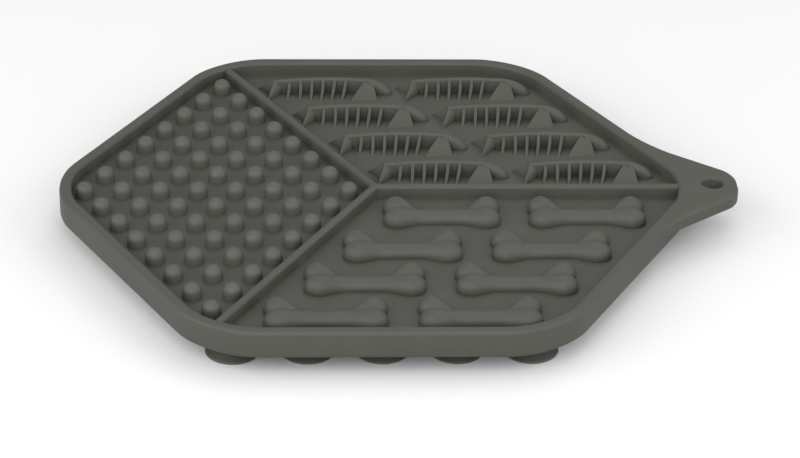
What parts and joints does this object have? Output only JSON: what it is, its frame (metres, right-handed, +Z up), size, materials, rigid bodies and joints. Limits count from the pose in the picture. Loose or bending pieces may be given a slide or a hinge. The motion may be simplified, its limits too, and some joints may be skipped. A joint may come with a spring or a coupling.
{
  "type": "pet lick mat",
  "caption": "Hexagonal moulded lick mat with a raised rim, ribs parting pockets of pegs, bones and fish skeletons, suction cups below and a hanging tab.",
  "frame": {"origin": "middle of the mat's box on the surface it rests on, at the lips of the suction cups", "axes": "+X towards the hanging tab, +Z up out of the pockets, +Y from the bones to the fish"},
  "size_m": [0.2048, 0.1726, 0.015],
  "materials": {
    "silicone": "matte"
  },
  "bodies": {
    "root": {"lick_mat": "silicone"}
  },
  "joints": []
}
